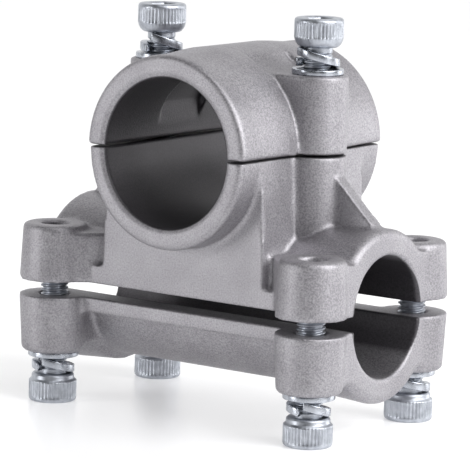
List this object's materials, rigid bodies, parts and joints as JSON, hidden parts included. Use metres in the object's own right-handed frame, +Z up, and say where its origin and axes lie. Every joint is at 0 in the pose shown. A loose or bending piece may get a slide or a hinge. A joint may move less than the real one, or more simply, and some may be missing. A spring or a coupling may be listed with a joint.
{
  "type": "handlebar clamp bracket",
  "caption": "Cast aluminium cross clamp that holds a straight shaft tube in its upper bore and a handlebar tube crosswise in its lower bore, drawn tight by socket head screws.",
  "frame": {"origin": "on the surface that the four lower screw heads stand on, under the middle of the bracket", "axes": "+Z up through both clamps, +Y along the shaft bore, +X along the handlebar bore"},
  "size_m": [0.0682, 0.0428, 0.0708],
  "materials": {
    "casting": "matte as-cast aluminium, bead blasted",
    "zinc": "bright zinc-plated steel"
  },
  "bodies": {
    "bracket": {"body": "casting"},
    "upper_cap": {"top_cap": "casting", "top_spring_washer_left": "zinc", "top_spring_washer_right": "zinc", "top_flat_washer_left": "zinc", "top_flat_washer_right": "zinc"},
    "lower_cap": {"bottom_cap": "casting", "bottom_spring_washer_front_left": "zinc", "bottom_spring_washer_front_right": "zinc", "bottom_spring_washer_rear_left": "zinc", "bottom_spring_washer_rear_right": "zinc", "bottom_flat_washer_front_left": "zinc", "bottom_flat_washer_front_right": "zinc", "bottom_flat_washer_rear_left": "zinc", "bottom_flat_washer_rear_right": "zinc"},
    "upper_screw_left": {"top_screw_left": "zinc"},
    "upper_screw_right": {"top_screw_right": "zinc"},
    "lower_screw_front_left": {"bottom_screw_front_left": "zinc"},
    "lower_screw_front_right": {"bottom_screw_front_right": "zinc"},
    "lower_screw_rear_left": {"bottom_screw_rear_left": "zinc"},
    "lower_screw_rear_right": {"bottom_screw_rear_right": "zinc"}
  },
  "joints": [
    {"name": "upper_cap_slide", "type": "slide", "parent": "bracket", "child": "upper_cap", "axis": [0, 0, 1], "range_m": [-0.00025, 0.005]},
    {"name": "lower_cap_slide", "type": "slide", "parent": "bracket", "child": "lower_cap", "axis": [0, 0, 1], "range_m": [-0.005, 0.0023]},
    {"name": "upper_screw_left_turn", "type": "hinge", "parent": "upper_cap", "child": "upper_screw_left", "pos_m": [-0.017, 0, 0.0658], "axis": [0, 0, 1], "range_deg": [-113, 2251]},
    {"name": "upper_screw_right_turn", "type": "hinge", "parent": "upper_cap", "child": "upper_screw_right", "pos_m": [0.017, 0, 0.0658], "axis": [0, 0, 1], "range_deg": [-113, 2251]},
    {"name": "lower_screw_front_left_turn", "type": "hinge", "parent": "lower_cap", "child": "lower_screw_front_left", "pos_m": [-0.0279, -0.01525, 0.005], "axis": [0, 0, 1], "range_deg": [-2251, 1036]},
    {"name": "lower_screw_front_right_turn", "type": "hinge", "parent": "lower_cap", "child": "lower_screw_front_right", "pos_m": [0.0279, -0.01525, 0.005], "axis": [0, 0, 1], "range_deg": [-2251, 1036]},
    {"name": "lower_screw_rear_left_turn", "type": "hinge", "parent": "lower_cap", "child": "lower_screw_rear_left", "pos_m": [-0.0279, 0.01525, 0.005], "axis": [0, 0, 1], "range_deg": [-2251, 1036]},
    {"name": "lower_screw_rear_right_turn", "type": "hinge", "parent": "lower_cap", "child": "lower_screw_rear_right", "pos_m": [0.0279, 0.01525, 0.005], "axis": [0, 0, 1], "range_deg": [-2251, 1036]}
  ],
  "couplings": [
    {"joint": "upper_screw_left_turn", "follows": "upper_cap_slide", "rad_per_m": 7854},
    {"joint": "upper_screw_right_turn", "follows": "upper_cap_slide", "rad_per_m": 7854},
    {"joint": "lower_screw_front_left_turn", "follows": "lower_cap_slide", "rad_per_m": 7854},
    {"joint": "lower_screw_front_right_turn", "follows": "lower_cap_slide", "rad_per_m": 7854},
    {"joint": "lower_screw_rear_left_turn", "follows": "lower_cap_slide", "rad_per_m": 7854},
    {"joint": "lower_screw_rear_right_turn", "follows": "lower_cap_slide", "rad_per_m": 7854}
  ]
}
